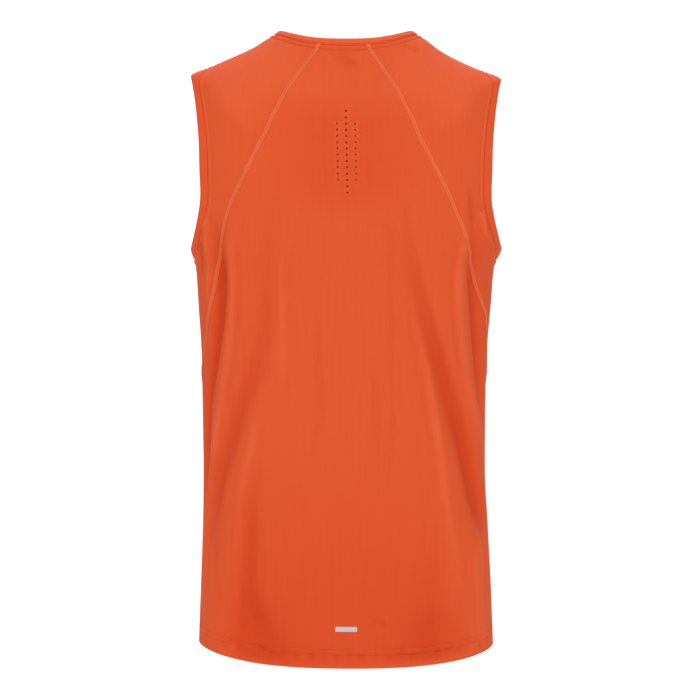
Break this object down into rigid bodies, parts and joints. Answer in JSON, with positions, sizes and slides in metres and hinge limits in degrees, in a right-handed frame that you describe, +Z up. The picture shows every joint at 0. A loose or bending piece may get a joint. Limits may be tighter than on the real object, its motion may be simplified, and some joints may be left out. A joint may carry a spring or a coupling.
{
  "type": "running singlet",
  "caption": "Sleeveless crew-neck running singlet in knitted cloth, filled out as worn, with raglan back seams, bound armholes and an open hem.",
  "frame": {"origin": "midway between the two shoulder ends of the neck seam, where the wearer's shoulders hold the garment", "axes": "+Z up along the body, +Y towards the wearer's back, +X towards the wearer's left"},
  "size_m": [0.3514, 0.2464, 0.7042],
  "materials": {
    "body_knit": "bright orange polyester jersey, smooth face with a soft sheen",
    "binding_knit": "bright orange polyester knit, folded double and cover-stitched"
  },
  "bodies": {
    "root": {"back_panel": "body_knit", "front_panel": "body_knit", "shoulder_panel_left": "body_knit", "shoulder_panel_right": "body_knit", "neckband": "binding_knit", "armhole_band_left": "binding_knit", "armhole_band_right": "binding_knit"}
  },
  "joints": []
}
